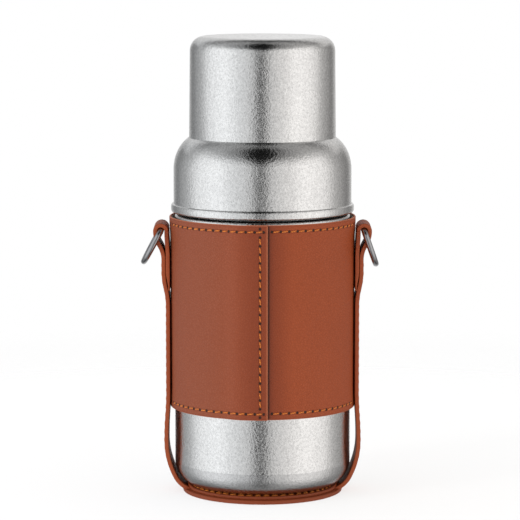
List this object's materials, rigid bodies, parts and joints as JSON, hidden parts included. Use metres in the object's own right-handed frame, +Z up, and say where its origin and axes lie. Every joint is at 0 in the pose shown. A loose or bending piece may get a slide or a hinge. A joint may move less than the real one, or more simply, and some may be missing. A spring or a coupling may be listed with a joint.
{
  "type": "vacuum flask in a leather carrier",
  "caption": "Double-wall steel flask with a domed screw-on shoulder, pour-through stopper and screw-on cup, in a stitched leather sleeve with a base strap and two D-rings.",
  "frame": {"origin": "centre of the underside of the base strap, on the flask's axis", "axes": "+Z up along the flask's axis, -Y the front with the sleeve's seam, +X to the right as seen from the front"},
  "size_m": [0.1189, 0.0945, 0.2284],
  "materials": {
    "strap_leather": "full-grain, edge-dyed",
    "sleeve_leather": "full-grain, light wax",
    "lining_cloth": "woven cotton",
    "thread": "waxed polyester",
    "ring_metal": "gunmetal plated",
    "speckled_steel": "tumbled, speckled",
    "inner_steel": "electropolished",
    "moulding": "fine grain",
    "button_plastic": "satin",
    "silicone": "satin",
    "foam": "closed cell",
    "copper_foil": "bright",
    "spring_steel": "drawn wire",
    "getter_alloy": "sintered"
  },
  "bodies": {
    "carrier": {"carrier_strap": "strap_leather", "base_lining": "strap_leather", "sleeve_panel": "sleeve_leather", "sleeve_lining": "lining_cloth", "sleeve_stitching": "thread", "strap_stitching": "thread", "base_stitching": "thread"},
    "left_ring": {"d_ring_left": "ring_metal"},
    "right_ring": {"d_ring_right": "ring_metal"},
    "bottle": {"outer_shell": "speckled_steel", "base_shell": "speckled_steel", "inner_vessel": "inner_steel", "mouth_ring": "inner_steel", "heat_shield": "copper_foil", "getter": "getter_alloy", "seal_disc": "inner_steel"},
    "shoulder_seal": {"shoulder_gasket": "silicone"},
    "shoulder": {"shoulder_shell": "speckled_steel", "shoulder_liner": "moulding", "shoulder_insulation": "foam", "neck_trim_ring": "inner_steel"},
    "stopper_seal": {"stopper_gasket": "silicone"},
    "stopper": {"stopper_body": "moulding", "stopper_cover": "moulding", "stem_guide": "moulding"},
    "pour_valve": {"pour_button": "button_plastic", "valve_stem": "inner_steel", "valve_plate": "inner_steel", "valve_seal": "silicone", "button_spring": "spring_steel"},
    "cup_gasket": {"cup_seal": "silicone"},
    "cup": {"cup_shell": "speckled_steel", "cup_liner": "inner_steel", "cup_thread_ring": "moulding"}
  },
  "joints": [
    {"name": "bottle_lift", "type": "slide", "parent": "carrier", "child": "bottle", "axis": [0, 0, 1], "range_m": [0, 0.15]},
    {"name": "left_ring_swing", "type": "hinge", "parent": "carrier", "child": "left_ring", "pos_m": [-0.0505, 0, 0.1319], "axis": [0, 1, 0], "range_deg": [-19.5, 140]},
    {"name": "right_ring_swing", "type": "hinge", "parent": "carrier", "child": "right_ring", "pos_m": [0.0505, 0, 0.1319], "axis": [0, -1, 0], "range_deg": [-10.5, 147]},
    {"name": "shoulder_lift", "type": "slide", "parent": "bottle", "child": "shoulder_seal", "axis": [0, 0, 1], "range_m": [0, 0.03]},
    {"name": "shoulder_turn", "type": "hinge", "parent": "shoulder_seal", "child": "shoulder", "pos_m": [0, 0, 0.1408], "axis": [0, 0, 1], "range_deg": [0, 1080]},
    {"name": "stopper_lift", "type": "slide", "parent": "shoulder", "child": "stopper_seal", "axis": [0, 0, 1], "range_m": [0, 0.018]},
    {"name": "stopper_turn", "type": "hinge", "parent": "stopper_seal", "child": "stopper", "pos_m": [0, 0, 0.1936], "axis": [0, 0, 1], "range_deg": [0, 540]},
    {"name": "button_press", "type": "slide", "parent": "stopper", "child": "pour_valve", "axis": [0, 0, -1], "range_m": [0, 0.005], "stiffness_N_per_m": 400, "springref_m": -0.002, "deforming": ["button_spring"]},
    {"name": "cup_lift", "type": "slide", "parent": "shoulder", "child": "cup_gasket", "axis": [0, 0, 1], "range_m": [0, 0.048]},
    {"name": "cup_turn", "type": "hinge", "parent": "cup_gasket", "child": "cup", "pos_m": [0, 0, 0.1778], "axis": [0, 0, 1], "range_deg": [0, 1440]}
  ],
  "couplings": [
    {"joint": "shoulder_lift", "follows": "shoulder_turn", "m_per_rad": 0.0015915},
    {"joint": "stopper_lift", "follows": "stopper_turn", "m_per_rad": 0.0019099},
    {"joint": "cup_lift", "follows": "cup_turn", "m_per_rad": 0.0019099}
  ]
}
